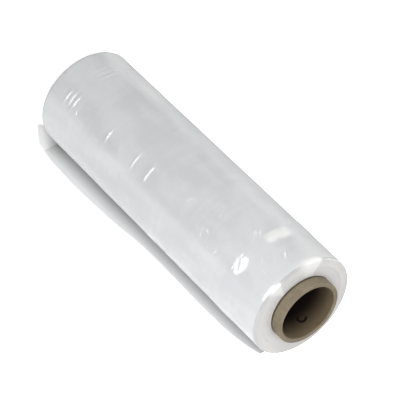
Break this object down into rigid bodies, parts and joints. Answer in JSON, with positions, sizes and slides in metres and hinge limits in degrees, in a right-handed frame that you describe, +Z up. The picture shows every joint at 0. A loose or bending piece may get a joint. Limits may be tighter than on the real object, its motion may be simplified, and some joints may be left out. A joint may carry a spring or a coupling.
{
  "type": "stretch wrap roll",
  "caption": "Wide roll of clear stretch film for wrapping pallets, wound on a thick board core that stands out at both ends.",
  "frame": {"origin": "middle of the core's lower end, on the surface that the roll stands on", "axes": "+Z up along the roll's axis, the roll standing on one end of its core; X and Y lie in that end"},
  "size_m": [0.1412, 0.1412, 0.481],
  "materials": {
    "core_board": "matt grey-brown kraft board, spiral wound, with plies open on the cut ends",
    "clear_film": "glossy clear polyethylene film, milky where many turns lie on each other"
  },
  "bodies": {
    "root": {"core": "core_board", "film": "clear_film"}
  },
  "joints": []
}
